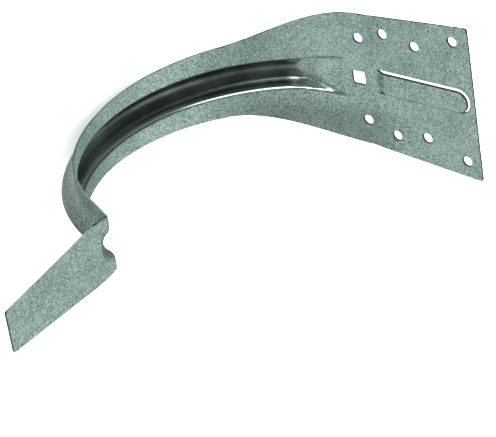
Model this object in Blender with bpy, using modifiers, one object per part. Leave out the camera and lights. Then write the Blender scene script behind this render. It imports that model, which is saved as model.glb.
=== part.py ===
"""Half-round gutter bracket, pressed from one blank of galvanised steel sheet.

The mounting plate stands against the fascia, with its back face on the plane
x = 0.  The ribbed cradle curves out of its lower edge and carries the gutter.
Two pieces of the same blank are bent by hand when the gutter is hung: the
front strap, over the gutter's bead, and the rear tongue, over its back edge.

Frame: +X away from the fascia, +Y along the gutter, +Z up.  The outline and the
rib are symmetric about y = 0; the punched holes and the tongue sit about a
millimetre off it, as the punch has left them.
"""
import math

import bmesh
import bpy
from mathutils import Vector

MM = 0.001

# Driving dimensions, in metres
SHEET = 1.0 * MM
BEND_GAP = 0.3 * MM
CRADLE_RADIUS = 77.0 * MM
CRADLE_TOP_Z = -1.2 * MM
CRADLE_ANGLE = math.radians(163.9)

PLATE_TOP_Z = 54.2 * MM
PLATE_TOP_HALF = 37.5 * MM
PLATE_TAPER = 0.088
PLATE_CORNER = 1.2 * MM

STRIP_HALF = 14.2 * MM
STRIP_TAPER = 0.0474
STRIP_TAPER_END = 136.0 * MM
SHOULDER_START = 1.6 * MM
SHOULDER_LENGTH = 66.0 * MM

RIB_DEPTH = 7.0 * MM
RIB_HALF = 7.9 * MM
RIB_SILL = 0.6 * MM
RIB_EASE = 0.5 * MM
RIB_START = 9.6 * MM
RIB_FLARE = 2.2 * MM
RIB_FLARE_START = 11.0 * MM
RIB_FLARE_END = 40.0 * MM
RIB_WALL = math.radians(75.0)
RIB_LIP = 1.5 * MM
RAMP_ROOT = 1.3 * MM
RAMP_END = 30.0 * MM
TROUGH_START = 37.0 * MM
RIB_FOLD_DEPTH = 4.2 * MM
RIB_FADE = 46.0 * MM
RIB_SOFTENING = 27.6 * MM
RIB_RUNOUT = 7.4 * MM

FOLD_RADIUS = 1.8 * MM
FOLD_ANGLE = math.radians(69.7)
FOLD_FLAT = 8.4 * MM
FOLD_PINCH = 1.4 * MM
FOLD_PINCH_LENGTH = 8.0 * MM

STRAP_ROOT_HALF = 13.2 * MM
STRAP_TIP_HALF = 9.5 * MM
STRAP_REACH = 68.8 * MM
STRAP_PARALLEL = 14.0 * MM
STRAP_CORNER = 0.8 * MM

SCREW_HOLE = 4.8 * MM
SCREW_HOLES = (
    (20.2 * MM, -4.0 * MM), (24.7 * MM, 10.9 * MM),
    (22.1 * MM, 27.2 * MM), (28.9 * MM, 47.1 * MM),
    (-20.6 * MM, -4.2 * MM), (-25.3 * MM, 9.3 * MM),
    (-22.7 * MM, 25.7 * MM), (-29.5 * MM, 46.0 * MM),
)
SQUARE_HOLE = 6.4 * MM
SQUARE_HOLE_Y = -0.7 * MM
SQUARE_HOLE_Z = -6.1 * MM
SQUARE_CORNER = 0.8 * MM

TONGUE_HALF = 5.3 * MM
TONGUE_MIDDLE = -1.0 * MM
TONGUE_RISE = 1.4 * MM
TONGUE_FOOT_Z = 3.0 * MM
TONGUE_DISH = 2.0 * MM
TONGUE_HINGE_Z = 8.6 * MM
TONGUE_TIP_Z = 51.5 * MM
SLOT_WIDTH = 0.8 * MM
SLOT_END_WIDTH = 0.35 * MM

# Stations across the sheet, as fractions of the rib's half width
CUT_CLEARANCE = 0.05 * MM
SLOT_EDGE = TONGUE_HALF + SLOT_WIDTH + CUT_CLEARANCE
RIB_COLUMNS = (1.0, 0.92, TONGUE_HALF / SLOT_EDGE, 0.72, 0.52, 0.27, 0.0)

# Stations along the sheet
CORNER_PARTS = (0.0, 0.15, 0.5, 1.0)
PLATE_HEIGHTS = (40.0 * MM, 26.0 * MM, 14.0 * MM)
RAMP_STEPS = 5
PLATE_FOOT_HEIGHT = 0.8 * MM
ARC_STEP = 5.6 * MM
RUNOUT_STEP = 3.2 * MM
RUNOUT_END = 42.0 * MM
FOLD_APPROACH = 23.0 * MM
FOLD_STEPS = 4
FLAT_STEPS = 5
STRAP_REACHES = (30.0 * MM, 50.0 * MM)
STRAP_COLUMNS = (1.0, 0.5, 0.0, -0.5, -1.0)

HOLE_SIDES = 24
CUTTER_DEPTH = 12.0 * MM

ARC_LENGTH = CRADLE_RADIUS * CRADLE_ANGLE
FOLD_LENGTH = FOLD_RADIUS * FOLD_ANGLE
STRAP_START = ARC_LENGTH + FOLD_LENGTH
BODY_END = STRAP_START + FOLD_FLAT


def clear_scene():
    """Remove whatever the file opens with."""
    for item in list(bpy.data.objects):
        bpy.data.objects.remove(item, do_unlink=True)


def new_collection(name):
    collection = bpy.data.collections.new(name)
    bpy.context.scene.collection.children.link(collection)
    return collection


def smooth(value):
    """Ease from 0 to 1 with flat ends."""
    value = min(max(value, 0.0), 1.0)
    return value * value * (3.0 - 2.0 * value)


def material(name, colour, roughness, metallic):
    """One Principled BSDF finish."""
    finish = bpy.data.materials.new(name)
    finish.use_nodes = True
    shader = finish.node_tree.nodes["Principled BSDF"]
    shader.inputs["Base Color"].default_value = (*colour, 1.0)
    shader.inputs["Roughness"].default_value = roughness
    shader.inputs["Metallic"].default_value = metallic
    finish.diffuse_color = (*colour, 1.0)
    return finish


def mesh_object(name, vertices, faces, collection):
    mesh = bpy.data.meshes.new(name)
    mesh.from_pydata(vertices, [], faces)
    mesh.update()
    item = bpy.data.objects.new(name, mesh)
    collection.objects.link(item)
    return item


def solidify(item):
    """Give an open front surface the sheet's thickness, towards its back."""
    shell = item.modifiers.new("sheet", "SOLIDIFY")
    shell.thickness = SHEET
    shell.offset = -1.0
    shell.use_quality_normals = True
    return shell


def grid_faces(rows, columns):
    """Quads of a rows x columns grid of vertices."""
    faces = []
    for row in range(rows - 1):
        for column in range(columns - 1):
            corner = row * columns + column
            faces.append((corner, corner + 1, corner + columns + 1, corner + columns))
    return faces


def front_path(distance):
    """Point and normal angle of the front face's centreline.

    distance runs along the sheet: negative on the plate, 0 where the cradle
    starts to curve.  The angle is that of the front normal below the X axis.
    """
    centre = Vector((SHEET + CRADLE_RADIUS, 0.0, CRADLE_TOP_Z))
    if distance <= 0.0:
        return Vector((SHEET, 0.0, CRADLE_TOP_Z - distance)), 0.0
    if distance <= ARC_LENGTH:
        angle = distance / CRADLE_RADIUS
        return centre - CRADLE_RADIUS * facing(angle), angle
    corner = centre - (CRADLE_RADIUS + FOLD_RADIUS) * facing(CRADLE_ANGLE)
    turned = min((distance - ARC_LENGTH) / FOLD_RADIUS, FOLD_ANGLE)
    angle = CRADLE_ANGLE - turned
    point = corner + FOLD_RADIUS * facing(angle)
    if distance > STRAP_START:
        point += (distance - STRAP_START) * along(angle)
    return point, angle


def facing(angle):
    """Front normal of the sheet where it has turned by the angle."""
    return Vector((math.cos(angle), 0.0, math.sin(angle)))


def along(angle):
    """Direction in which the sheet runs on, away from the plate."""
    return Vector((math.sin(angle), 0.0, -math.cos(angle)))


def half_width(distance):
    """Half width of the blank at a distance along the sheet."""
    if distance <= SHOULDER_START:
        height = CRADLE_TOP_Z - distance
        half = PLATE_TOP_HALF - PLATE_TAPER * (PLATE_TOP_Z - height)
        inset = PLATE_CORNER - (PLATE_TOP_Z - height)
        if inset > 0.0:
            half -= PLATE_CORNER - math.sqrt(max(PLATE_CORNER ** 2 - inset ** 2, 0.0))
        return half
    strip = STRIP_HALF + STRIP_TAPER * max(STRIP_TAPER_END - distance, 0.0)
    shoulder = 1.0 - smooth((distance - SHOULDER_START) / SHOULDER_LENGTH)
    half = strip + shoulder * (half_width(SHOULDER_START) - strip)
    narrowing = smooth((distance - ARC_LENGTH) / STRAP_PARALLEL)
    half += narrowing * (STRAP_ROOT_HALF - half)
    middle = ARC_LENGTH + 0.5 * FOLD_LENGTH
    return half - FOLD_PINCH * (1.0 - smooth(abs(distance - middle) / FOLD_PINCH_LENGTH))


def rib_half_width(distance):
    """Half width of the rib, flared where it runs out into the plate.

    Above the rib the grid narrows to the tongue's slot.
    """
    if distance < 0.0:
        return SLOT_EDGE
    spread = (distance - RIB_FLARE_START) / (RIB_FLARE_END - RIB_FLARE_START)
    full = RIB_HALF + RIB_FLARE * (1.0 - smooth(spread))
    return SLOT_EDGE + min(distance / RIB_START, 1.0) * (full - SLOT_EDGE)


def grid_middle(distance):
    """Offset of the grid's middle column: on the tongue, then on the rib."""
    return TONGUE_MIDDLE * (1.0 - smooth(distance / RIB_START))


def rib_depth(distance):
    """Depth of the rib's floor below the front face.

    At the plate the floor runs straight on while the flanges curve away; at the
    front it rises and dies out just past the fold.
    """
    if distance <= RIB_START:
        return 0.0
    if distance <= ARC_LENGTH:
        turned = min(distance, RUNOUT_END) / CRADLE_RADIUS
        straight = CRADLE_RADIUS * (1.0 / math.cos(turned) - 1.0) - RIB_SILL
        gap = straight - RIB_DEPTH
        rise = 0.5 * (straight + RIB_DEPTH - math.sqrt(gap * gap + RIB_EASE ** 2))
        drop = 1.0 - smooth((ARC_LENGTH - distance) / RIB_FADE)
        return max(rise, 0.0) - drop * (RIB_DEPTH - RIB_FOLD_DEPTH)
    past = (distance - ARC_LENGTH) / (RIB_RUNOUT + FOLD_LENGTH)
    return RIB_FOLD_DEPTH * (1.0 - smooth(past))


def rib_direction(distance):
    """Way in which the rib is pressed out, easing round the front fold."""
    eased = smooth((distance - ARC_LENGTH + RIB_RUNOUT) / (2.0 * RIB_RUNOUT))
    return -facing(min(distance, ARC_LENGTH) / CRADLE_RADIUS - eased * FOLD_ANGLE)


def rib_drop(distance, offset):
    """Depth of the rib's face at an offset: lip arc, wall, root arc, floor."""
    depth = rib_depth(distance)
    half = rib_half_width(distance)
    if depth <= 0.0 or offset >= half:
        return 0.0
    soft = smooth((distance - ARC_LENGTH + RIB_SOFTENING) / RIB_SOFTENING)
    wall = RIB_WALL + soft * (2.0 * math.atan(depth / half) - RIB_WALL)
    least = RIB_LIP + RAMP_ROOT
    full = max((half - depth / math.tan(wall)) / math.tan(0.5 * wall), least)
    trough = smooth((distance - RAMP_END) / (TROUGH_START - RAMP_END))
    both = least + trough * (full - least)
    slope = min(wall, math.acos(max(1.0 - depth / both, -1.0)))
    lip = RIB_LIP + soft * (0.5 * both - RIB_LIP)
    root = both - lip
    straight = max(depth - both * (1.0 - math.cos(slope)), 0.0) / math.tan(slope)
    run = both * math.sin(slope) + straight
    inward = min(half - offset, run)
    left = run - inward
    if left < root * math.sin(slope):
        return depth - root + math.sqrt(root ** 2 - left ** 2)
    if inward < lip * math.sin(slope):
        return lip - math.sqrt(lip ** 2 - inward ** 2)
    past_lip = inward - lip * math.sin(slope)
    return lip * (1.0 - math.cos(slope)) + past_lip * math.tan(slope)


def tongue_lift(height, offset):
    """Height of the tongue's ramp in front of the plate."""
    beside = abs(offset) > TONGUE_HALF + CUT_CLEARANCE
    if beside or height > TONGUE_HINGE_Z + CUT_CLEARANCE:
        return 0.0
    foot = TONGUE_FOOT_Z + TONGUE_DISH * (offset / TONGUE_HALF) ** 2
    return TONGUE_RISE * smooth((height - foot) / (TONGUE_HINGE_Z - foot))


def body_rows():
    """Distances along the sheet at which the body has a cross-section."""
    heights = [PLATE_TOP_Z - PLATE_CORNER * part for part in CORNER_PARTS]
    heights += PLATE_HEIGHTS
    ramp = TONGUE_HINGE_Z - TONGUE_FOOT_Z
    heights += [TONGUE_HINGE_Z - ramp * step / RAMP_STEPS for step in range(RAMP_STEPS + 1)]
    heights += [PLATE_FOOT_HEIGHT]
    rows = [CRADLE_TOP_Z - height for height in heights]
    distance = 0.0
    while distance < ARC_LENGTH - 0.5 * ARC_STEP:
        rows.append(distance)
        fine = distance < RUNOUT_END or distance > ARC_LENGTH - FOLD_APPROACH
        distance += RUNOUT_STEP if fine else ARC_STEP
    rows += [ARC_LENGTH + FOLD_LENGTH * step / FOLD_STEPS for step in range(FOLD_STEPS)]
    flat = FOLD_FLAT - 0.5 * BEND_GAP
    rows += [STRAP_START + flat * step / FLAT_STEPS for step in range(FLAT_STEPS + 1)]
    return rows


def body_section(distance):
    """Front face points of one cross-section, from +Y to -Y."""
    point, angle = front_path(distance)
    half = half_width(distance)
    rib = rib_half_width(distance)
    middle = grid_middle(distance)
    direction = rib_direction(distance)
    inner = [rib * part for part in RIB_COLUMNS]
    inner += [-side for side in reversed(inner[:-1])]
    offsets = [half, 0.5 * (half + middle + rib)]
    offsets += [middle + side for side in inner]
    offsets += [-0.5 * (half - middle + rib), -half]
    section = []
    for offset in offsets:
        here = point + Vector((0.0, offset, 0.0))
        here += direction * rib_drop(distance, abs(offset))
        if distance < 0.0:
            here += facing(angle) * tongue_lift(point.z, offset - middle)
        section.append(here)
    return section


def cutter(name, collection):
    item = bpy.context.active_object
    item.name = name
    item.hide_render = True
    item.display_type = "WIRE"
    for other in list(item.users_collection):
        other.objects.unlink(item)
    collection.objects.link(item)
    return item


def screw_hole_cutter(offset, height, collection):
    bpy.ops.mesh.primitive_cylinder_add(
        vertices=HOLE_SIDES, radius=SCREW_HOLE / 2.0, depth=CUTTER_DEPTH,
        location=(SHEET / 2.0, offset, height), rotation=(0.0, math.pi / 2.0, 0.0))
    return cutter("screw_hole_cutter", collection)


def box_cutter(name, size, location, collection):
    bpy.ops.mesh.primitive_cube_add(size=1.0, location=location, scale=size)
    bpy.ops.object.transform_apply(location=False, rotation=False, scale=True)
    return cutter(name, collection)


def square_hole_cutter(collection):
    size = (CUTTER_DEPTH, SQUARE_HOLE, SQUARE_HOLE)
    place = (0.0, SQUARE_HOLE_Y, SQUARE_HOLE_Z)
    item = box_cutter("square_hole_cutter", size, place, collection)
    shape = bmesh.new()
    shape.from_mesh(item.data)
    edges = [edge for edge in shape.edges
             if abs((edge.verts[0].co - edge.verts[1].co).x) > SQUARE_HOLE]
    bmesh.ops.bevel(shape, geom=edges, offset=SQUARE_CORNER, segments=3,
                    profile=0.5, affect="EDGES")
    shape.to_mesh(item.data)
    shape.free()
    return item


def tongue_outline(half, root_z, tip_z, steps):
    """Flat outline in Y and Z: square root, half-round tip."""
    points = [(half, root_z)]
    for step in range(steps + 1):
        angle = math.pi * step / steps
        points.append((half * math.cos(angle), tip_z - half + half * math.sin(angle)))
    points.append((-half, root_z))
    return points


def slot_cutter(collection):
    """Prism that opens the plate round the tongue and slits it beside the ramp."""
    half = TONGUE_HALF + SLOT_WIDTH
    tip = TONGUE_TIP_Z + SLOT_END_WIDTH
    root = TONGUE_HINGE_Z - 0.5 * BEND_GAP
    slit_root = TONGUE_FOOT_Z + TONGUE_DISH
    inner = TONGUE_HALF - 0.5 * CUT_CLEARANCE
    outline = tongue_outline(half, slit_root, tip, 16)
    outline += [(-inner, slit_root), (-inner, root), (inner, root), (inner, slit_root)]
    count = len(outline)
    depth = 0.5 * CUTTER_DEPTH
    vertices = [(-depth, y, z) for y, z in outline]
    vertices += [(depth, y, z) for y, z in outline]
    faces = [tuple(reversed(range(count))), tuple(range(count, 2 * count))]
    for corner in range(count):
        after = (corner + 1) % count
        faces.append((corner, after, count + after, count + corner))
    item = mesh_object("slot_cutter", vertices, faces, collection)
    item.location.y = TONGUE_MIDDLE
    item.hide_render = True
    item.display_type = "WIRE"
    return item


def cut(item, tool):
    hole = item.modifiers.new(tool.name, "BOOLEAN")
    hole.operation = "DIFFERENCE"
    hole.solver = "EXACT"
    hole.object = tool


def make_bracket_body(parts, cutters):
    """Mounting plate, ribbed cradle and front fold, all one sheet."""
    rows = body_rows()
    vertices = []
    for distance in rows:
        vertices.extend(body_section(distance))
    columns = len(vertices) // len(rows)
    item = mesh_object("bracket_body", vertices, grid_faces(len(rows), columns), parts)
    solidify(item)
    for offset, height in SCREW_HOLES:
        cut(item, screw_hole_cutter(offset, height, cutters))
    cut(item, square_hole_cutter(cutters))
    cut(item, slot_cutter(cutters))
    item.data.materials.append(
        material("spangled_galvanised_sheet", (0.36, 0.42, 0.40), 0.45, 0.85))
    return item


def strap_half_width(reach):
    """Half width of the front strap, at a reach beyond the fold."""
    taper = max(reach - STRAP_PARALLEL, 0.0) / (STRAP_REACH - STRAP_PARALLEL)
    full = half_width(STRAP_START + min(reach, STRAP_PARALLEL))
    half = full + taper * (STRAP_TIP_HALF - full)
    inset = STRAP_CORNER - (STRAP_REACH - reach)
    if inset > 0.0:
        half -= STRAP_CORNER - math.sqrt(max(STRAP_CORNER ** 2 - inset ** 2, 0.0))
    return half


def make_front_strap(parts):
    """Flat end of the sheet, bent up over the gutter's bead when it is hung.

    Its origin lies on the bend line, in the strap's upper face.
    """
    hinge, angle = front_path(BODY_END)
    direction = along(angle)
    first = FOLD_FLAT + 0.5 * BEND_GAP
    reaches = [first, STRAP_PARALLEL, *STRAP_REACHES]
    reaches += [STRAP_REACH - STRAP_CORNER * part for part in reversed(CORNER_PARTS)]
    vertices = []
    for reach in reaches:
        half = strap_half_width(reach)
        middle = (reach - FOLD_FLAT) * direction
        for part in STRAP_COLUMNS:
            vertices.append(middle + Vector((0.0, half * part, 0.0)))
    faces = grid_faces(len(reaches), len(STRAP_COLUMNS))
    item = mesh_object("front_strap", vertices, faces, parts)
    item.location = hinge
    solidify(item)
    item.data.materials.append(
        material("spangled_galvanised_strap", (0.38, 0.44, 0.42), 0.45, 0.85))
    return item


def make_rear_tongue(parts):
    """Tongue lanced from the plate, bent down over the gutter's back edge.

    Its origin lies on the bend line, in the tongue's front face.
    """
    root = 0.5 * BEND_GAP
    outline = tongue_outline(TONGUE_HALF, root, TONGUE_TIP_Z - TONGUE_HINGE_Z, 14)
    shape = bmesh.new()
    shape.faces.new([shape.verts.new((0.0, y, z)) for y, z in outline])
    mesh = bpy.data.meshes.new("rear_tongue")
    shape.to_mesh(mesh)
    shape.free()
    item = bpy.data.objects.new("rear_tongue", mesh)
    parts.objects.link(item)
    item.location = (SHEET + TONGUE_RISE, TONGUE_MIDDLE, TONGUE_HINGE_Z)
    solidify(item)
    item.data.materials.append(
        material("spangled_galvanised_tongue", (0.40, 0.45, 0.43), 0.45, 0.85))
    return item


def main():
    clear_scene()
    parts = new_collection("half_round_gutter_bracket")
    cutters = new_collection("cutters")
    make_bracket_body(parts, cutters)
    make_front_strap(parts)
    make_rear_tongue(parts)


main()
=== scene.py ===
"""Looks of a half-round gutter bracket, pressed from one blank of galvanised steel.

Places on the sheet are given on the flat blank, in metres: "down" runs from the
plate's foot round the cradle to the strap's tip, and is negative on the plate;
"across" is the offset from the centre line, along +Y.
"""
import math

import bmesh
import bpy
import numpy as np
from mathutils import Matrix, Vector
from mathutils.geometry import delaunay_2d_cdt


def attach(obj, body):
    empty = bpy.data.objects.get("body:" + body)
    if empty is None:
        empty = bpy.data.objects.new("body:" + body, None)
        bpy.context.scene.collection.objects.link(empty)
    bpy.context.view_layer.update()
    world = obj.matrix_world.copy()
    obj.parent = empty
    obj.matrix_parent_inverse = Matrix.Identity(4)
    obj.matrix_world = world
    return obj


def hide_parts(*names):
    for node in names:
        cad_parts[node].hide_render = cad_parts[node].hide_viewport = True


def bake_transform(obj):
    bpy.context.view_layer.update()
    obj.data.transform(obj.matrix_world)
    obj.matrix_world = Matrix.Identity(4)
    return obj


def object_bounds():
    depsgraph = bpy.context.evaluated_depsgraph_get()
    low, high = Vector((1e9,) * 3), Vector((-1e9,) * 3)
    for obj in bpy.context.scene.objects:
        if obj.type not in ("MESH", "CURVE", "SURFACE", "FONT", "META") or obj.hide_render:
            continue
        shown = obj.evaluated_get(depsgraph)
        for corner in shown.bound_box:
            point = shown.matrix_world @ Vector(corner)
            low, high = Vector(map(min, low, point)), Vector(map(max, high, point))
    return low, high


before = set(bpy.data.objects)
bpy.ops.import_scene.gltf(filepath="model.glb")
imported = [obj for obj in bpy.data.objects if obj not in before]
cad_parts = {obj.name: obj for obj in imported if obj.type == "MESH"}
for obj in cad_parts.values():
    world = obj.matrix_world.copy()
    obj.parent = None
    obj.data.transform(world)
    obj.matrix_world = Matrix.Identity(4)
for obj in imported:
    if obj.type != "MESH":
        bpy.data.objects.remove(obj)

CAD_LOW, CAD_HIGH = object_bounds()
MM = 0.001

# The sheet and the cradle it is pressed to
SHEET = 1.0 * MM
CRADLE_RADIUS = 77.0 * MM
CRADLE_TOP_Z = -1.2 * MM
CRADLE_ANGLE = math.radians(163.9)

# The mounting plate
PLATE_TOP_Z = 54.2 * MM
PLATE_TOP_HALF = 37.5 * MM
PLATE_TAPER = 0.088
PLATE_CORNER = 1.2 * MM

# The strip and its shoulders
STRIP_HALF = 14.2 * MM
STRIP_TAPER = 0.0474
STRIP_TAPER_END = 136.0 * MM
SHOULDER_START = 1.6 * MM
SHOULDER_LENGTH = 66.0 * MM

# The stiffening rib
RIB_DEPTH = 7.0 * MM
RIB_HALF = 7.9 * MM
RIB_SILL = 0.6 * MM
RIB_EASE = 0.5 * MM
RIB_FLARE = 2.2 * MM
RIB_FLARE_START = 11.0 * MM
RIB_FLARE_END = 40.0 * MM
RIB_WALL = math.radians(75.0)
RIB_LIP = 1.5 * MM
RAMP_ROOT = 1.3 * MM
RAMP_END = 30.0 * MM
TROUGH_START = 37.0 * MM
RIB_FOLD_DEPTH = 4.2 * MM
RIB_FADE = 46.0 * MM
RIB_SOFTENING = 0.6 * RIB_FADE
RIB_RUNOUT = 7.4 * MM

# The rib's floor can run straight on over this share of the cradle at most
STRAIGHT_ON_SHARE = 0.3

# A depth under this is none
NO_DEPTH = 1e-6

# The front fold and the strap
FOLD_RADIUS = 1.8 * MM
FOLD_ANGLE = math.radians(69.7)
FOLD_FLAT = 8.4 * MM
FOLD_PINCH = 1.4 * MM
FOLD_PINCH_LENGTH = 8.0 * MM
STRAP_ROOT_HALF = 13.2 * MM
STRAP_TIP_HALF = 9.5 * MM
STRAP_REACH = 68.8 * MM
STRAP_PARALLEL = 14.0 * MM
STRAP_CORNER = 0.8 * MM

# Holes and tongue
SCREW_HOLE = 4.8 * MM
SCREW_HOLE_SIDES = 40
SCREW_HOLES = (
    (20.2 * MM, -4.0 * MM), (24.7 * MM, 10.9 * MM),
    (22.1 * MM, 27.2 * MM), (28.9 * MM, 47.1 * MM),
    (-20.6 * MM, -4.2 * MM), (-25.3 * MM, 9.3 * MM),
    (-22.7 * MM, 25.7 * MM), (-29.5 * MM, 46.0 * MM),
)
SQUARE_HOLE = 6.4 * MM
SQUARE_HOLE_Y = -0.7 * MM
SQUARE_HOLE_Z = -6.1 * MM
SQUARE_CORNER = 0.8 * MM
SQUARE_CORNER_STEPS = 5
TONGUE_HALF = 5.3 * MM
TONGUE_MIDDLE = -1.0 * MM
TONGUE_RISE = 1.4 * MM
TONGUE_FOOT_Z = 3.0 * MM
TONGUE_DISH = 2.0 * MM
TONGUE_HINGE_Z = 8.6 * MM
TONGUE_TIP_Z = 51.5 * MM
SLOT_WIDTH = 0.8 * MM
SLOT_END_WIDTH = 0.35 * MM
ROUND_END_STEPS = 32

# Finishes on each piece of the sheet, by slot
SKIN, SHEARED, PUNCHED = range(3)

# The punch rolls the front of an edge over; the back keeps a small burr
ROLLED_EDGE = 0.32 * MM
# The rolled rims of the holes take the near-black punched finish, so this width also sets a
# ring of painted shade round each hole
ROLLED_HOLE = 0.42 * MM
ROLLED_STEPS = 3
BURR_EDGE = 0.10 * MM
BURR_STEPS = 1

# Zinc narrows each hole all round, and burr narrows the slot on both its sides
ZINC_IN_HOLE = 0.12 * MM
BURR_IN_SLOT = 0.28 * MM

# A rolled sheet sways: depth, and wavelengths over two pi, of a broad and a fine sway
BROAD_SWAY = 0.045 * MM
BROAD_DOWN = 9.1 * MM
BROAD_ACROSS = 7.3 * MM
FINE_SWAY = 0.025 * MM
FINE_DOWN = 5.2 * MM
FINE_ACROSS = 8.4 * MM
TONGUE_SWAY_SHARE = 0.5

# The die burnishes the inside of the rib more than its back; the same share tints
# the zinc there darker as painted shade. Its work fades in at the lip and towards the plate,
# and fades out round the fold.
BACK_WORKED = 0.3
LIP_OVERLAP = 0.3 * MM
LIP_FADE = 0.7 * MM
WORKED_DROP = 0.3 * MM
RAMP_FLOOR_FADE = 3.0 * MM
WALL_FOOT = 0.3 * MM
WALL_FADE = 0.8 * MM
FOLD_FADE_START = 16.0 * MM
FOLD_FADE = 14.0 * MM
FOLD_UNWORKED = 0.7

# The die's shoulder polishes the lip, and the whole wall beside the ramp; the same
# share tints them light as a painted highlight
LIP_POLISH_HIGHLIGHT = 1.3 * MM
RAMP_POLISH_HIGHLIGHT_FADE = 4.0 * MM
POLISH_HIGHLIGHT_FOOT = 0.1 * MM
POLISH_HIGHLIGHT_FADE = 0.4 * MM

# The back's patterns are taken this far from the front's, so the two don't match
BACK_SHIFT = 60.0 * MM

ARC_LENGTH = CRADLE_RADIUS * CRADLE_ANGLE
FOLD_LENGTH = FOLD_RADIUS * FOLD_ANGLE
STRAP_START = ARC_LENGTH + FOLD_LENGTH
STRAP_HINGE = STRAP_START + FOLD_FLAT
STRAP_END = STRAP_START + STRAP_REACH
BEND_BEFORE = 0.9 * MM
BEND_AFTER = 2.6 * MM
STRAP_SEAM = STRAP_HINGE - 1.0 * MM
PLATE_END = CRADLE_TOP_Z - PLATE_TOP_Z

# The tongue on the blank: its seam with the plate, the ends of the cuts beside
# it, and the start of its round end
TONGUE_FOOT = CRADLE_TOP_Z - TONGUE_FOOT_Z
TONGUE_SLIT = CRADLE_TOP_Z - (TONGUE_FOOT_Z + TONGUE_DISH)
TONGUE_TOP = CRADLE_TOP_Z - (TONGUE_TIP_Z - TONGUE_HALF)

# Spacing of the points round each outline
OUTLINE_STEP = 1.6 * MM
SLOT_STEP = 1.5 * MM
TONGUE_STEP = 1.0 * MM
CORNER_POINTS = 4
CORNER_TURN = 0.125 * math.pi

# Room between an outline, or a hole's edge, and the first points inside the sheet
OUTLINE_GAP = 0.45 * MM
HOLE_GAP = 0.35 * MM

# An edge further than this from the outline is a hole's
EDGE_GAP = 0.1 * MM

# Places closer than this are one: in the net, in millimetres, and at a seam, in metres
WELD = 1e-5
SAME_PLACE = 1e-6

# Points in each piece of sheet, as start, end and spacing: rows down the blank,
# close together where the rib starts and round the bends, and columns across it
BRACKET_ROWS = (
    (PLATE_END + 1.6 * MM, 6.0 * MM, 2.0 * MM),
    (7.0 * MM, 44.0 * MM, 0.9 * MM),
    (45.5 * MM, ARC_LENGTH - 14.0 * MM, 1.6 * MM),
    (ARC_LENGTH - 13.0 * MM, STRAP_SEAM - 0.5 * MM, 0.6 * MM),
)
BRACKET_HALF_COLUMNS = ((0.3 * MM, 12.3 * MM, 0.6 * MM), (14.0 * MM, 36.5 * MM, 1.5 * MM))
STRAP_ROWS = (
    (STRAP_SEAM + 0.5 * MM, STRAP_HINGE + 4.0 * MM, 0.5 * MM),
    (STRAP_HINGE + 5.5 * MM, STRAP_END, 1.6 * MM),
)
STRAP_HALF_COLUMNS = ((0.3 * MM, 13.8 * MM, 1.5 * MM),)
TONGUE_ROWS = (
    (TONGUE_TOP - TONGUE_HALF, TONGUE_SLIT, 0.8 * MM),
    (TONGUE_SLIT + 0.3 * MM, TONGUE_FOOT, 0.4 * MM),
)
TONGUE_COLUMNS = ((TONGUE_MIDDLE - 4.4 * MM, TONGUE_MIDDLE + 4.4 * MM, 0.8 * MM),)


# ---------------------------------------------------------------- the blank


def ease(value):
    """From 0 to 1 with flat ends."""
    value = np.clip(value, 0.0, 1.0)
    return value * value * (3.0 - 2.0 * value)


def facing(angle):
    """Way at an angle below +X."""
    return np.stack([np.cos(angle), 0.0 * angle, np.sin(angle)], axis=-1)


def half_width(down):
    """Half width of the blank."""
    down = np.asarray(down, float)
    from_top = down - PLATE_END
    plate = PLATE_TOP_HALF - PLATE_TAPER * from_top
    inset = np.clip(PLATE_CORNER - from_top, 0.0, PLATE_CORNER)
    plate = plate - PLATE_CORNER + np.sqrt(PLATE_CORNER ** 2 - inset ** 2)
    foot = PLATE_TOP_HALF - PLATE_TAPER * (SHOULDER_START - PLATE_END)
    strip = STRIP_HALF + STRIP_TAPER * np.clip(STRIP_TAPER_END - down, 0.0, None)
    shoulder = 1.0 - ease((down - SHOULDER_START) / SHOULDER_LENGTH)
    half = strip + shoulder * (foot - strip)
    narrowing = ease((down - ARC_LENGTH) / STRAP_PARALLEL)
    half = half + narrowing * (STRAP_ROOT_HALF - half)
    middle = ARC_LENGTH + 0.5 * FOLD_LENGTH
    half = half - FOLD_PINCH * (1.0 - ease(abs(down - middle) / FOLD_PINCH_LENGTH))
    reach = down - STRAP_START
    taper = np.clip(reach - STRAP_PARALLEL, 0.0, None) / (STRAP_REACH - STRAP_PARALLEL)
    half = half + taper * (STRAP_TIP_HALF - STRAP_ROOT_HALF)
    inset = np.clip(STRAP_CORNER - (STRAP_REACH - reach), 0.0, STRAP_CORNER)
    half = half - STRAP_CORNER + np.sqrt(STRAP_CORNER ** 2 - inset ** 2)
    return np.where(down <= SHOULDER_START, plate, half)


def sheet_path(down):
    """Centreline of the front face, and the angle of its normal below +X."""
    down = np.asarray(down, float)
    centre = np.array([SHEET + CRADLE_RADIUS, 0.0, CRADLE_TOP_Z])
    angle = np.clip(down, 0.0, ARC_LENGTH) / CRADLE_RADIUS
    point = centre - CRADLE_RADIUS * facing(angle)
    point[..., 2] -= np.minimum(down, 0.0)
    corner = centre - (CRADLE_RADIUS + FOLD_RADIUS) * facing(np.array(CRADLE_ANGLE))
    turned = np.clip((down - ARC_LENGTH) / FOLD_RADIUS, 0.0, FOLD_ANGLE)
    folded = CRADLE_ANGLE - turned
    onward = np.stack([np.sin(folded), 0.0 * folded, -np.cos(folded)], axis=-1)
    beyond = np.clip(down - STRAP_START, 0.0, None)[..., None]
    after = corner + FOLD_RADIUS * facing(folded) + beyond * onward
    past = down > ARC_LENGTH
    return np.where(past[..., None], after, point), np.where(past, folded, angle)


def rib_half(down):
    """Half width of the rib, flared where it starts."""
    spread = (down - RIB_FLARE_START) / (RIB_FLARE_END - RIB_FLARE_START)
    return RIB_HALF + RIB_FLARE * (1.0 - ease(spread))


def soft_least(first, second, width):
    """The lesser of two values, rounded where they cross."""
    gap = first - second
    return 0.5 * (first + second - np.sqrt(gap * gap + width * width))


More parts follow.
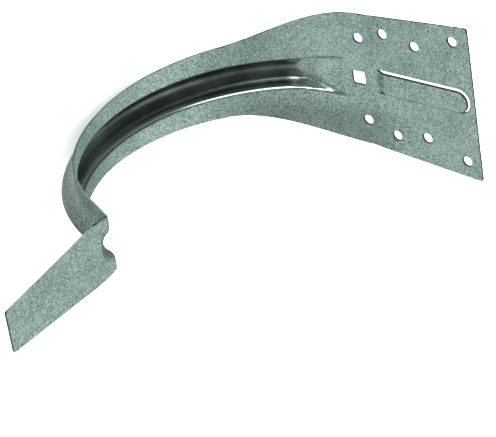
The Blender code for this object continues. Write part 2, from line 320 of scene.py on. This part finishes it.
def rib_depth(down):
    """Depth of the rib's floor.

    At the plate the floor runs straight on while the flanges curve away; at the
    front it rises and dies out just past the fold.
    """
    angle = np.clip(down, 0.0, STRAIGHT_ON_SHARE * ARC_LENGTH) / CRADLE_RADIUS
    straight = CRADLE_RADIUS * (1.0 / np.cos(angle) - 1.0) - RIB_SILL
    rise = soft_least(np.maximum(straight, 0.0), RIB_DEPTH, RIB_EASE)
    rise = np.maximum(rise, 0.0)
    drop = 1.0 - ease((ARC_LENGTH - down) / RIB_FADE)
    cradle = rise - drop * (RIB_DEPTH - RIB_FOLD_DEPTH)
    past = RIB_FOLD_DEPTH * (1.0 - ease((down - ARC_LENGTH) / (RIB_RUNOUT + FOLD_LENGTH)))
    return np.where(down <= ARC_LENGTH, cradle, past)


def rib_pressing(down):
    """Way in which the rib is pushed out, easing round the front fold."""
    eased = ease((down - ARC_LENGTH + RIB_RUNOUT) / (2.0 * RIB_RUNOUT))
    angle = np.clip(down, 0.0, ARC_LENGTH) / CRADLE_RADIUS
    return -facing(angle - eased * FOLD_ANGLE)


def rib_drop(down, across):
    """How far a place lies below the face: lip arc, straight wall, root arc, floor."""
    half = rib_half(down)
    depth = np.maximum(rib_depth(down), 0.1 * NO_DEPTH)
    soft = ease((down - ARC_LENGTH + RIB_SOFTENING) / RIB_SOFTENING)
    wall = RIB_WALL + soft * (2.0 * np.arctan(depth / half) - RIB_WALL)
    full = (half - depth / np.tan(wall)) / np.tan(0.5 * wall)
    full = np.maximum(full, RIB_LIP + RAMP_ROOT)
    trough = ease((down - RAMP_END) / (TROUGH_START - RAMP_END))
    both = RIB_LIP + RAMP_ROOT + trough * (full - RIB_LIP - RAMP_ROOT)
    slope = np.minimum(wall, np.arccos(np.clip(1.0 - depth / both, -1.0, 1.0)))
    lip = RIB_LIP + soft * (0.5 * both - RIB_LIP)
    root = both - lip
    straight = np.maximum(depth - both * (1.0 - np.cos(slope)), 0.0) / np.tan(slope)
    run = both * np.sin(slope) + straight
    inward = np.clip(half - np.abs(across), 0.0, run)
    left = run - inward
    on_lip = lip - np.sqrt(np.maximum(lip ** 2 - inward ** 2, 0.0))
    on_root = depth - root + np.sqrt(np.maximum(root ** 2 - left ** 2, 0.0))
    on_wall = lip * (1.0 - np.cos(slope)) + (inward - lip * np.sin(slope)) * np.tan(slope)
    drop = np.where(inward < lip * np.sin(slope), on_lip, on_wall)
    drop = np.where(left < root * np.sin(slope), on_root, drop)
    return np.where(rib_depth(down) > NO_DEPTH, drop, 0.0)


def tongue_lift(down, across):
    """Ramp that carries the tongue in front of the plate."""
    height = CRADLE_TOP_Z - down
    foot = TONGUE_FOOT_Z + TONGUE_DISH * ((across - TONGUE_MIDDLE) / TONGUE_HALF) ** 2
    return TONGUE_RISE * ease((height - foot) / (TONGUE_HINGE_Z - foot))


def waviness(down, across):
    """A few hundredths of a millimetre of sway, as in any pressed sheet."""
    broad = np.sin(down / BROAD_DOWN + 0.7) * np.sin(across / BROAD_ACROSS + 0.4)
    fine = np.sin(down / FINE_DOWN - across / FINE_ACROSS + 1.9)
    return BROAD_SWAY * broad + FINE_SWAY * fine


def front_point(down, across, lifted):
    """Place of the front face in the row frame."""
    point, angle = sheet_path(down)
    point = point + rib_drop(down, across)[..., None] * rib_pressing(down)
    out = waviness(down, across)
    if lifted:
        out = out * TONGUE_SWAY_SHARE + tongue_lift(down, across)
    point = point + out[..., None] * facing(angle)
    point[..., 1] += across
    return point


def front_normal(down, across, lifted):
    """Way that the front face looks."""
    step = 0.02 * MM
    run_down = front_point(down + step, across, lifted)
    run_down -= front_point(down - step, across, lifted)
    run_across = front_point(down, across + step, lifted)
    run_across -= front_point(down, across - step, lifted)
    normal = np.cross(run_down, run_across)
    return normal / np.linalg.norm(normal, axis=-1, keepdims=True)


# ------------------------------------------------------------ cutting it out


def circle(middle, radius):
    """Screw hole on the blank."""
    count = SCREW_HOLE_SIDES
    turns = [2.0 * math.pi * step / count for step in range(count)]
    return [(middle[0] + radius * math.cos(turn), middle[1] + radius * math.sin(turn))
            for turn in turns]


def rounded_square(middle, size, corner):
    """Square hole on the blank, with round corners."""
    loop = []
    for quarter in range(4):
        start = 0.5 * math.pi * quarter
        side = 0.5 * size - corner
        turn = start + 0.25 * math.pi
        at = (middle[0] + side * math.copysign(1.0, math.cos(turn)),
              middle[1] + side * math.copysign(1.0, math.sin(turn)))
        for step in range(SQUARE_CORNER_STEPS + 1):
            bend = start + 0.5 * math.pi * step / SQUARE_CORNER_STEPS
            loop.append((at[0] + corner * math.cos(bend), at[1] + corner * math.sin(bend)))
    return loop


def round_end(half, tip_z):
    """Half circle round the tongue's free end, on the blank, from +Y to -Y."""
    loop = []
    for step in range(ROUND_END_STEPS + 1):
        turn = math.pi * step / ROUND_END_STEPS
        height = tip_z - half + half * math.sin(turn)
        loop.append((CRADLE_TOP_Z - height, TONGUE_MIDDLE + half * math.cos(turn)))
    return loop


def spaced(start, end, step):
    """Even spacing between two places, without the last."""
    count = max(int(round(abs(end - start) / step)), 1)
    return [start + (end - start) * part / count for part in range(count)]


def round_corner(radius):
    """Distances from an end at which the points of a round corner lie."""
    return [radius * (1.0 - math.cos(CORNER_TURN * part)) for part in range(CORNER_POINTS)]


def side_loop(start, end):
    """Both side edges of the blank between two places, as one closed loop."""
    downs = spaced(start, end, OUTLINE_STEP) + [end]
    if start == PLATE_END:
        corner = [start + inset for inset in round_corner(PLATE_CORNER)]
        downs = corner + [down for down in downs if down > start + PLATE_CORNER]
    if end == STRAP_END:
        corner = [end - inset for inset in round_corner(STRAP_CORNER)]
        downs = [down for down in downs if down < end - STRAP_CORNER] + corner[::-1]
    right = [(down, float(half_width(down))) for down in downs]
    left = [(down, -half) for down, half in reversed(right)]
    ends = []
    for first, last in ((right[-1], left[0]), (left[-1], right[0])):
        acrosses = spaced(first[1], last[1], OUTLINE_STEP)[1:]
        ends.append([(first[0], across) for across in acrosses])
    return right + ends[0] + left + ends[1]


def inside(points, loop):
    """Which points lie in a closed loop."""
    loop = np.array(loop)
    after = np.roll(loop, -1, axis=0)
    hits = np.zeros(len(points), int)
    for (x0, y0), (x1, y1) in zip(loop, after):
        spans = (y0 > points[:, 1]) != (y1 > points[:, 1])
        if y0 != y1:
            cross = x0 + (points[:, 1] - y0) * (x1 - x0) / (y1 - y0)
            hits += spans & (points[:, 0] < cross)
    return hits % 2 == 1


def clear_of(points, loop, gap):
    """Which points keep a gap from every edge of a loop."""
    loop = np.array(loop)
    clear = np.ones(len(points), bool)
    for start, end in zip(loop, np.roll(loop, -1, axis=0)):
        run = end - start
        share = np.clip(((points - start) @ run) / max(run @ run, 1e-18), 0.0, 1.0)
        near = start + share[:, None] * run
        clear &= np.linalg.norm(points - near, axis=1) > gap
    return clear


def lattice(downs, acrosses, outline, holes):
    """Points in the sheet, clear of its outline and its holes."""
    points = np.array([(down, across) for down in downs for across in acrosses])
    keep = inside(points, outline) & clear_of(points, outline, OUTLINE_GAP)
    for hole in holes:
        keep &= ~inside(points, hole) & clear_of(points, hole, HOLE_GAP)
    return points[keep]


def flat_pattern(outline, holes, downs, acrosses):
    """The piece as one flat net of faces on the blank, in millimetres."""
    inner = lattice(downs, acrosses, outline, holes)
    corners, edges = [], []
    for loop in [outline] + holes:
        first = len(corners)
        corners.extend(loop)
        edges.extend((first + at, first + (at + 1) % len(loop)) for at in range(len(loop)))
    corners.extend(map(tuple, inner))
    scaled = [Vector((down / MM, across / MM)) for down, across in corners]
    flat, _, faces, *_ = delaunay_2d_cdt(scaled, edges, [], 0, WELD, False)
    places = np.array([tuple(corner) for corner in flat]) * MM
    middles = np.array([places[list(face)].mean(axis=0) for face in faces])
    keep = inside(middles, outline)
    for hole in holes:
        keep &= ~inside(middles, hole)

    pattern = bmesh.new()
    spots = [pattern.verts.new((down / MM, across / MM, 0.0)) for down, across in places]
    for face, kept in zip(faces, keep):
        if kept:
            pattern.faces.new([spots[corner] for corner in face])
    bmesh.ops.recalc_face_normals(pattern, faces=pattern.faces[:])
    if sum(face.normal.z for face in pattern.faces) < 0.0:
        bmesh.ops.reverse_faces(pattern, faces=pattern.faces[:])
    bmesh.ops.join_triangles(pattern, faces=pattern.faces[:], angle_face_threshold=3.1,
                             angle_shape_threshold=0.6)
    pattern.verts.index_update()
    loose = [spot for spot in pattern.verts if not spot.link_faces]
    bmesh.ops.delete(pattern, geom=loose, context="VERTS")
    pattern.verts.index_update()
    return pattern


def sheet_piece(name, outline, holes, downs, acrosses, joined, finishes,
                lifted=False, all_punched=False):
    """One piece of the sheet, with its thickness and broken edges.

    joined says which edges run on into the next piece; those stay square.
    """
    pattern = flat_pattern(outline, holes, downs, acrosses)
    down, across = np.array([spot.co.xy for spot in pattern.verts]).T * MM
    front = front_point(down, across, lifted)
    back = front - SHEET * front_normal(down, across, lifted)
    # The rib's burnish and painted shade, and the lip's polish and painted highlight, as
    # shares per point
    worked_and_shade = pressed_and_shade_share(down, across)
    polish_and_highlight = polish_and_highlight_share(down, across)
    drop = rib_drop(down, across)

    solid = bmesh.new()
    place_layer = solid.verts.layers.float_vector.new("blank_place")
    worked_and_shade_layer = solid.verts.layers.float.new("pressed")
    polish_and_highlight_layer = solid.verts.layers.float.new("polish_and_highlight")
    sides = []
    for points, shift, share, shine in (
            (front, 0.0, 1.0, 1.0), (back, BACK_SHIFT, BACK_WORKED, 0.0)):
        side = []
        for at, point in enumerate(points):
            spot = solid.verts.new(point)
            spot[place_layer] = (down[at], across[at], drop[at] + shift)
            spot[worked_and_shade_layer] = share * worked_and_shade[at]
            spot[polish_and_highlight_layer] = shine * polish_and_highlight[at]
            side.append(spot)
        sides.append(side)
    ahead, behind = sides
    for face in pattern.faces:
        order = [corner.index for corner in face.verts]
        solid.faces.new([ahead[at] for at in order])
        solid.faces.new([behind[at] for at in reversed(order)])
    rims = {(side, finish): [] for side in (0, 1) for finish in (SHEARED, PUNCHED)}
    borders = [edge.link_loops[0] for edge in pattern.edges if len(edge.link_loops) == 1]
    pairs = [(loop.vert.index, loop.link_loop_next.vert.index) for loop in borders]
    middles = np.array([(0.5 * (down[start] + down[end]), 0.5 * (across[start] + across[end]))
                        for start, end in pairs])
    punched = clear_of(middles, outline, EDGE_GAP) | all_punched
    for (start, end), middle, in_hole in zip(pairs, middles, punched):
        wall = solid.faces.new((ahead[start], behind[start], behind[end], ahead[end]))
        wall.material_index = PUNCHED if in_hole else SHEARED
        for side, spots in enumerate(sides):
            rim = solid.edges.get((spots[start], spots[end]))
            if joined(*middle):
                rim.smooth = False
            else:
                rims[side, wall.material_index].append(rim)
    pattern.free()
    for face in solid.faces:
        face.smooth = True
    for (side, finish), geometry in rims.items():
        rolled = ROLLED_HOLE if finish == PUNCHED else ROLLED_EDGE
        width, segments = ((rolled, ROLLED_STEPS), (BURR_EDGE, BURR_STEPS))[side]
        bmesh.ops.bevel(solid, geom=geometry, offset=width, offset_type="OFFSET",
                        segments=segments, profile=0.5, affect="EDGES",
                        clamp_overlap=True, material=finish)
    mesh = bpy.data.meshes.new(name)
    solid.to_mesh(mesh)
    solid.free()
    for finish in finishes:
        mesh.materials.append(finish)
    piece = bpy.data.objects.new(name, mesh)
    bpy.context.scene.collection.objects.link(piece)
    weighted = piece.modifiers.new("even shading", "WEIGHTED_NORMAL")
    weighted.keep_sharp = True
    return piece


def pressed_and_shade_share(down, across):
    """How hard the die has worked the zinc, which also sets the rib's painted shade: full in
    the rib, none on the flats.
    """
    drop = rib_drop(down, across)
    edge = 1.0 - ease((np.abs(across) - rib_half(down) + LIP_OVERLAP) / LIP_FADE)
    floor = 1.0 - ease((TROUGH_START - down) / RAMP_FLOOR_FADE)
    wall = ease((rib_depth(down) - drop - WALL_FOOT) / WALL_FADE)
    fold = 1.0 - FOLD_UNWORKED * ease((down - ARC_LENGTH + FOLD_FADE_START) / FOLD_FADE)
    return edge * ease(drop / WORKED_DROP) * np.maximum(floor, wall) * fold


def polish_and_highlight_share(down, across):
    """Where the sheet has slid over the die's shoulder, and where a painted highlight
    lies: the lip of the rib, and the walls beside the ramp."""
    drop = rib_drop(down, across)
    lip = 1.0 - ease((drop - LIP_POLISH_HIGHLIGHT) / LIP_POLISH_HIGHLIGHT)
    beside_ramp = 1.0 - ease((down - TROUGH_START) / RAMP_POLISH_HIGHLIGHT_FADE)
    wall = ease((rib_depth(down) - drop - POLISH_HIGHLIGHT_FOOT) / POLISH_HIGHLIGHT_FADE)
    return pressed_and_shade_share(down, across) * wall * np.maximum(lip, beside_ramp)


# ------------------------------------------------------------------ finishes


# Cells per metre of each pattern, with the size of a cell in millimetres
GRAINS = 2000.0  # 0.5
SALT = 2800.0  # 0.36
CLOUDS = 65.0  # 15
BLUE_PATCHES = 25.0  # 40
SCORES = 3000.0  # 0.33
ORANGE_PEEL = 400.0  # 2.5

# Where a painted shade darkens the +Y side of the root, each from not at all to in full:
# across the blank, down it from the plate, and back up it from the cradle
SHADE_SIDE = (8.0 * MM, 20.0 * MM)
SHADE_PLATE = (-22.0 * MM, 4.0 * MM)
SHADE_CRADLE = (80.0 * MM, 40.0 * MM)
SHADE_STRENGTH = 0.40

# How deep the zinc's speckle and the scores on a cut edge are
SPECKLE_RELIEF = 0.05 * MM
SCORE_RELIEF = 0.04 * MM


def colour(code):
    """Linear RGBA of an sRGB hex colour."""
    levels = [int(code[at:at + 2], 16) / 255.0 for at in (1, 3, 5)]
    linear = [level / 12.92 if level <= 0.04045 else ((level + 0.055) / 1.055) ** 2.4
              for level in levels]
    return (*linear, 1.0)


def add(tree, kind, settings=None, links=None, **options):
    """One node, with its options, socket values and what feeds it."""
    node = tree.nodes.new(kind)
    for option, value in options.items():
        setattr(node, option, value)
    for socket, value in (settings or {}).items():
        node.inputs[socket].default_value = value
    for socket, source in (links or {}).items():
        tree.links.new(source, node.inputs[socket])
    return node


def ramp(tree, source, stops):
    """Colours along a value."""
    node = add(tree, "ShaderNodeValToRGB", links={"Fac": source})
    elements = node.color_ramp.elements
    while len(elements) < len(stops):
        elements.new(0.5)
    for element, (position, value) in zip(elements, stops):
        element.position = position
        element.color = value
    return node.outputs["Color"]


def new_finish(name, metallic):
    """A material with its node tree and its shader."""
    finish = bpy.data.materials.new(name)
    finish.use_nodes = True
    tree = finish.node_tree
    shader = tree.nodes["Principled BSDF"]
    shader.inputs["Metallic"].default_value = metallic
    return finish, tree, shader


def blank_coordinates(tree):
    """Place on the blank, with the rib's depth; front and back lie far apart."""
    return add(tree, "ShaderNodeAttribute", attribute_name="blank_place").outputs["Vector"]


def span(tree, source, ends):
    """Smoothly from 0 to 1 between two places."""
    return add(tree, "ShaderNodeMapRange", {"From Min": ends[0], "From Max": ends[1]},
               {"Value": source}, interpolation_type="SMOOTHSTEP").outputs["Result"]


def product(tree, first, second):
    return add(tree, "ShaderNodeMath", links={0: first, 1: second},
               operation="MULTIPLY").outputs["Value"]


def bluer(tree, place, zinc):
    """The zinc, with patches of 40 mm where it is bluer."""
    patches = add(tree, "ShaderNodeTexNoise", {"Scale": BLUE_PATCHES, "Detail": 2.0},
                  {"Vector": place}).outputs["Fac"]
    blue = add(tree, "ShaderNodeMapRange",
               {"From Min": 0.45, "From Max": 0.65, "To Max": 0.18}, {"Value": patches})
    return add(tree, "ShaderNodeMix", {"B": colour("#a6c0c8")},
               {"Factor": blue.outputs["Result"], "A": zinc},
               data_type="RGBA").outputs["Result"]


def painted_root_shade(tree, place, zinc):
    """The zinc, darkened on the +Y side of the root by a painted shade."""
    along = add(tree, "ShaderNodeSeparateXYZ", links={"Vector": place})
    patch = product(tree, span(tree, along.outputs["X"], SHADE_PLATE),
                    span(tree, along.outputs["X"], SHADE_CRADLE))
    patch = product(tree, patch, span(tree, along.outputs["Y"], SHADE_SIDE))
    share = add(tree, "ShaderNodeMath", {1: SHADE_STRENGTH}, {0: patch},
                operation="MULTIPLY").outputs["Value"]
    # Painted shade: this dark colour is mixed in over the +Y side of the root
    return add(tree, "ShaderNodeMix", {"B": colour("#46544f")}, {"Factor": share, "A": zinc},
               data_type="RGBA").outputs["Result"]


def galvanised_sheet():
    """Hot-dip galvanised steel, skin-passed: a matt, finely speckled grey-green
    zinc on the flats, burnished smooth in the rib, with painted shade darkening the rib and a
    painted highlight on its lip."""
    finish, tree, shader = new_finish("galvanised_steel_skin_passed", 1.0)
    place = blank_coordinates(tree)
    worked_and_shade = add(tree, "ShaderNodeAttribute", attribute_name="pressed").outputs["Fac"]
    polish_and_highlight = add(tree, "ShaderNodeAttribute", attribute_name="polish_and_highlight").outputs["Fac"]

    # Grains of 0.5 mm, with a finer salt between them
    grains = add(tree, "ShaderNodeTexVoronoi", {"Scale": GRAINS, "Randomness": 1.0},
                 {"Vector": place})
    grain = add(tree, "ShaderNodeSeparateColor",
                links={"Color": grains.outputs["Color"]}).outputs["Red"]
    salt = add(tree, "ShaderNodeTexNoise",
               {"Scale": SALT, "Detail": 2.0, "Roughness": 0.6},
               {"Vector": place}).outputs["Fac"]
    # Clouds of 15 mm, from the bath
    cloud = add(tree, "ShaderNodeTexNoise",
                {"Scale": CLOUDS, "Detail": 4.0, "Roughness": 0.6},
                {"Vector": place}).outputs["Fac"]
    speckle = add(tree, "ShaderNodeMix", {"Factor": 0.62}, {"A": grain, "B": salt},
                  data_type="FLOAT").outputs["Result"]
    tone = add(tree, "ShaderNodeMix", {"Factor": 0.2}, {"A": speckle, "B": cloud},
               data_type="FLOAT").outputs["Result"]
    zinc = ramp(tree, tone, (
        (0.30, colour("#627d74")), (0.50, colour("#a9c5bb")), (0.70, colour("#e0f5ed"))))
    # Painted shade: the zinc in the rib is tinted darker than on the flats
    drawn = ramp(tree, cloud, (
        (0.35, colour("#58605e")), (0.65, colour("#788682"))))
    zinc = painted_root_shade(tree, place, bluer(tree, place, zinc))
    # Painted highlight: a light tint on the rib's lip and on the walls beside the ramp
    rib_tint_shade_and_highlight = add(tree, "ShaderNodeMix", {"B": colour("#ccd8d4")},
               {"Factor": polish_and_highlight, "A": drawn}, data_type="RGBA").outputs["Result"]
    tint = add(tree, "ShaderNodeMix", links={"Factor": worked_and_shade, "A": zinc, "B": rib_tint_shade_and_highlight},
               data_type="RGBA")
    tree.links.new(tint.outputs["Result"], shader.inputs["Base Color"])

    matt = add(tree, "ShaderNodeMapRange", {"To Min": 0.42, "To Max": 0.60},
               {"Value": speckle}).outputs["Result"]
    drawn_rough = add(tree, "ShaderNodeMapRange", {"To Min": 0.18, "To Max": 0.32},
                      {"Value": cloud}).outputs["Result"]
    sleek = add(tree, "ShaderNodeMix", {"B": 0.14}, {"Factor": polish_and_highlight, "A": drawn_rough},
                data_type="FLOAT").outputs["Result"]
    rough = add(tree, "ShaderNodeMix", links={"Factor": worked_and_shade, "A": matt, "B": sleek},
                data_type="FLOAT")
    tree.links.new(rough.outputs["Result"], shader.inputs["Roughness"])

    calm = add(tree, "ShaderNodeMapRange", {"To Min": 1.0, "To Max": 0.25},
               {"Value": worked_and_shade}).outputs["Result"]
    relief = add(tree, "ShaderNodeBump", {"Strength": 0.5, "Distance": SPECKLE_RELIEF},
                 {"Height": product(tree, speckle, calm)})
    tree.links.new(relief.outputs["Normal"], shader.inputs["Normal"])
    return finish


def cut_edge(name, metallic, dark, light, smoothest):
    """An edge left by a die, with fine scores across the thickness."""
    finish, tree, shader = new_finish(name, metallic)
    # Scores 0.3 mm apart along the edge, drawn out across the thickness
    drawn_out = add(tree, "ShaderNodeMapping", {"Scale": (1.0, 1.0, 0.002)},
                    {"Vector": blank_coordinates(tree)})
    scores = add(tree, "ShaderNodeTexNoise", {"Scale": SCORES, "Detail": 2.0},
                 {"Vector": drawn_out.outputs["Vector"]}).outputs["Fac"]
    tint = ramp(tree, scores, ((0.30, colour(dark)), (0.70, colour(light))))
    tree.links.new(tint, shader.inputs["Base Color"])
    rough = add(tree, "ShaderNodeMapRange",
                {"To Min": smoothest, "To Max": smoothest + 0.2}, {"Value": scores})
    tree.links.new(rough.outputs["Result"], shader.inputs["Roughness"])
    relief = add(tree, "ShaderNodeBump", {"Strength": 0.3, "Distance": SCORE_RELIEF},
                 {"Height": scores})
    tree.links.new(relief.outputs["Normal"], shader.inputs["Normal"])
    return finish


def sheared_edge():
    """Outline left by the blanking die: wiped zinc over bare steel, tinted dark so the rolled
    rims read as a line of painted shade; bright only towards a light.
    """
    return cut_edge("galvanised_steel_sheared_edge", 1.0, "#36413d", "#5d6b66", 0.14)


def punched_edge_and_shade():
    """Wall left by a punch: bare cut steel, tinted near black as painted shade in the gaps
    and on the rolled rims round the holes, the slot and the tongue.
    """
    return cut_edge("punched_steel_dark_as_shade", 0.0, "#0e1110", "#222a28", 0.45)


def painted_floor():
    """Matt white emulsion, rolled: a faint orange peel."""
    finish, tree, shader = new_finish("floor_white_emulsion", 0.0)
    spot = add(tree, "ShaderNodeTexCoord").outputs["Object"]
    peel = add(tree, "ShaderNodeTexNoise", {"Scale": ORANGE_PEEL, "Detail": 2.0},
               {"Vector": spot}).outputs["Fac"]
    tint = ramp(tree, peel, ((0.3, colour("#fafafa")), (0.7, colour("#fcfcfc"))))
    tree.links.new(tint, shader.inputs["Base Color"])
    shader.inputs["Roughness"].default_value = 0.9
    shader.inputs["Specular IOR Level"].default_value = 0.0
    return finish


# -------------------------------------------------------------- the bracket


def even(bands):
    """Evenly spaced places in each band, with both its ends."""
    return [place for start, end, step in bands
            for place in np.arange(start, end + 0.5 * step, step)]


def mirrored(values):
    """The same places on both sides of the middle."""
    return sorted({round(sign * value, 7) for value in values for sign in (-1.0, 1.0)})


def tongue_sides(half, start, end, step):
    """Both straight sides of the tongue or its slot, to and from the round end."""
    out = [(down, TONGUE_MIDDLE + half) for down in spaced(start, end, step)]
    home = [(down, TONGUE_MIDDLE - half) for down in spaced(end, start, step)][1:]
    return out, home


def tongue_foot_row():
    """Seam across the foot of the ramp, from -Y to +Y."""
    left, right = TONGUE_MIDDLE - TONGUE_HALF, TONGUE_MIDDLE + TONGUE_HALF
    acrosses = spaced(left, right, TONGUE_STEP) + [right]
    return [(TONGUE_FOOT, across) for across in acrosses]


def slot_loop():
    """Opening in the plate round the tongue and its ramp."""
    half = TONGUE_HALF + SLOT_WIDTH - BURR_IN_SLOT
    tip_z = TONGUE_TIP_Z + SLOT_END_WIDTH
    out, home = tongue_sides(half, TONGUE_SLIT, CRADLE_TOP_Z - tip_z + half, SLOT_STEP)
    loop = out + round_end(half, tip_z) + home
    loop += [(TONGUE_SLIT, TONGUE_MIDDLE - half), (TONGUE_SLIT, TONGUE_MIDDLE - TONGUE_HALF)]
    return loop + tongue_foot_row() + [(TONGUE_SLIT, TONGUE_MIDDLE + TONGUE_HALF)]


def bracket_sheet(finishes):
    """Plate and cradle, up to the seam with the strap."""
    outline = side_loop(PLATE_END, STRAP_SEAM)
    holes = [slot_loop()]
    for offset, height in SCREW_HOLES:
        middle = (CRADLE_TOP_Z - height, offset)
        holes.append(circle(middle, 0.5 * SCREW_HOLE - ZINC_IN_HOLE))
    holes.append(rounded_square((CRADLE_TOP_Z - SQUARE_HOLE_Z, SQUARE_HOLE_Y),
                                SQUARE_HOLE - 2.0 * ZINC_IN_HOLE, SQUARE_CORNER))
    downs = even(BRACKET_ROWS)
    acrosses = mirrored(even(BRACKET_HALF_COLUMNS))

    def joined(down, across):
        at_strap = abs(down - STRAP_SEAM) < SAME_PLACE
        off = abs(across - TONGUE_MIDDLE)
        beside = abs(off - TONGUE_HALF) < SAME_PLACE and TONGUE_SLIT < down < TONGUE_FOOT
        at_foot = abs(down - TONGUE_FOOT) < SAME_PLACE and off < TONGUE_HALF
        return at_strap or beside or at_foot

    piece = sheet_piece("bracket_sheet", outline, holes, downs, acrosses, joined, finishes)
    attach(piece, "bracket")
    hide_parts("bracket_body")
    return piece


def strap_sheet(finishes):
    """Front strap, from just before its bend to its tip."""
    outline = side_loop(STRAP_SEAM, STRAP_END)
    downs = even(STRAP_ROWS)
    acrosses = mirrored(even(STRAP_HALF_COLUMNS))

    def joined(down, across):
        return abs(down - STRAP_SEAM) < SAME_PLACE

    piece = sheet_piece("front_strap_sheet", outline, [], downs, acrosses, joined, finishes)
    ends = sheet_path(np.array([STRAP_HINGE - BEND_BEFORE, STRAP_HINGE + BEND_AFTER]))[0]
    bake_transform(piece)
    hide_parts("front_strap")
    return piece


def tongue_sheet(finishes):
    """Rear tongue and its ramp, from the seam at the foot to the round end."""
    out, home = tongue_sides(TONGUE_HALF, TONGUE_SLIT, TONGUE_TOP, TONGUE_STEP)
    outline = out + round_end(TONGUE_HALF, TONGUE_TIP_Z) + home
    outline += [(TONGUE_SLIT, TONGUE_MIDDLE - TONGUE_HALF)] + tongue_foot_row()
    downs = even(TONGUE_ROWS)
    acrosses = even(TONGUE_COLUMNS)

    def joined(down, across):
        return down > TONGUE_SLIT

    piece = sheet_piece("rear_tongue_sheet", outline, [], downs, acrosses, joined,
                        finishes, lifted=True, all_punched=True)
    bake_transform(piece)
    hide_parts("rear_tongue")
    return piece


# ------------------------------------------------------------------- studio


FLOOR_REACH = 4.0
FLOOR_GAP = 0.3 * MM


def studio_floor():
    """Floor a hair below the bracket; the metal doesn't mirror it."""
    mesh = bpy.data.meshes.new("studio_floor")
    reach, level = FLOOR_REACH, CAD_LOW.z - FLOOR_GAP
    corners = [(-reach, -reach, level), (reach, -reach, level),
               (reach, reach, level), (-reach, reach, level)]
    mesh.from_pydata(corners, [], [(0, 1, 2, 3)])
    mesh.materials.append(painted_floor())
    floor = bpy.data.objects.new("studio_floor", mesh)
    bpy.context.scene.collection.objects.link(floor)
    floor.visible_glossy = False


# Light from the cove, on all but what the metal mirrors
COVE_STRENGTH = 2.6

# Fill that the metal sees, from -Y at 0 to +Y at 1
FILL = ((0.00, 0.05), (0.56, 0.08), (0.69, 1.0), (0.79, 1.15), (0.87, 0.2), (1.00, 0.1))

# Soft boxes as the metal sees them: way, where the edge fades in, and strength
SOFT_BOXES = (
    ((-0.53, -0.74, -0.41), 0.93, 0.975, 5.0),
    ((0.12, -0.99, -0.05), 0.86, 0.95, 3.4),
    ((-0.15, -0.12, -0.98), 0.66, 0.88, 0.5),
)

# Black cards that hold the light back: way, where the edge fades in, and share held
BLACK_CARDS = (
    ((0.63, 0.52, 0.58), 0.86, 0.96, 0.60),
    ((-0.80, 0.48, -0.35), 0.66, 0.86, 0.92),
    ((-0.76, 0.50, 0.42), 0.80, 0.94, 0.45),
    ((0.05, 0.50, -0.86), 0.82, 0.92, 0.97),
)


def grey(level):
    return (level, level, level, 1.0)


def lobe(tree, towards, way, start, end, most):
    """A soft round patch of the surroundings, round one way."""
    aim = add(tree, "ShaderNodeVectorMath", {1: way}, {0: towards},
              operation="DOT_PRODUCT").outputs["Value"]
    return add(tree, "ShaderNodeMapRange",
               {"From Min": start, "From Max": end, "To Max": most},
               {"Value": aim}, interpolation_type="SMOOTHSTEP").outputs["Result"]


def studio_world():
    """White cove for the floor; for the metal, soft boxes with dark gaps between."""
    world = bpy.data.worlds.new("studio_cove")
    world.use_nodes = True
    bpy.context.scene.world = world
    tree = world.node_tree
    white = tree.nodes["Background"]
    white.inputs["Color"].default_value = (1.0, 1.0, 1.0, 1.0)
    white.inputs["Strength"].default_value = COVE_STRENGTH
    towards = add(tree, "ShaderNodeTexCoord").outputs["Generated"]
    sideways = add(tree, "ShaderNodeSeparateXYZ", links={"Vector": towards}).outputs["Y"]
    share = add(tree, "ShaderNodeMapRange", {"From Min": -1.0, "From Max": 1.0},
                {"Value": sideways}).outputs["Result"]
    seen = ramp(tree, share, [(at, grey(level)) for at, level in FILL])
    for way, start, end, most in BLACK_CARDS:
        held = lobe(tree, towards, way, start, end, most)
        seen = add(tree, "ShaderNodeMix", {"B": grey(0.0)}, {"Factor": held, "A": seen},
                   data_type="RGBA").outputs["Result"]
    for way, start, end, strength in SOFT_BOXES:
        glow = lobe(tree, towards, way, start, end, strength)
        seen = add(tree, "ShaderNodeMix", {"Factor": 1.0}, {"A": seen, "B": glow},
                   data_type="RGBA", blend_type="ADD").outputs["Result"]
    studio = add(tree, "ShaderNodeBackground", {"Strength": 1.0}, {"Color": seen})
    path = add(tree, "ShaderNodeLightPath")
    mixed = add(tree, "ShaderNodeMixShader", links={
        0: path.outputs["Is Glossy Ray"], 1: white.outputs[0], 2: studio.outputs[0]})
    tree.links.new(mixed.outputs[0], tree.nodes["World Output"].inputs["Surface"])


CAMERA_SENSOR_MM = 36.0
CAMERA_LENS_MM = 212.4
CAMERA_PLACE = (0.8660, -0.6166, 0.7018)
CAMERA_RIGHT = (-0.6020, 0.1374, 0.7866)
CAMERA_BACK = (0.6327, -0.5190, 0.5748)


def studio_camera():
    """Long lens from the front, above and to the -Y side, turned so that +Z lies
    to the right of the frame."""
    lens = bpy.data.cameras.new("long_lens")
    lens.sensor_width = CAMERA_SENSOR_MM
    lens.lens = CAMERA_LENS_MM
    stand = bpy.data.objects.new("camera", lens)
    right = Vector(CAMERA_RIGHT).normalized()
    back = Vector(CAMERA_BACK).normalized()
    top = back.cross(right).normalized()
    right = top.cross(back)
    turn = Matrix((right, top, back)).transposed().to_4x4()
    stand.matrix_world = Matrix.Translation(CAMERA_PLACE) @ turn
    bpy.context.scene.collection.objects.link(stand)
    bpy.context.scene.camera = stand


def build():
    finishes = (galvanised_sheet(), sheared_edge(), punched_edge_and_shade())
    bracket_sheet(finishes)
    strap_sheet(finishes)
    tongue_sheet(finishes)
    studio_floor()
    studio_world()
    studio_camera()
    bpy.context.scene.view_settings.view_transform = "Standard"


build()
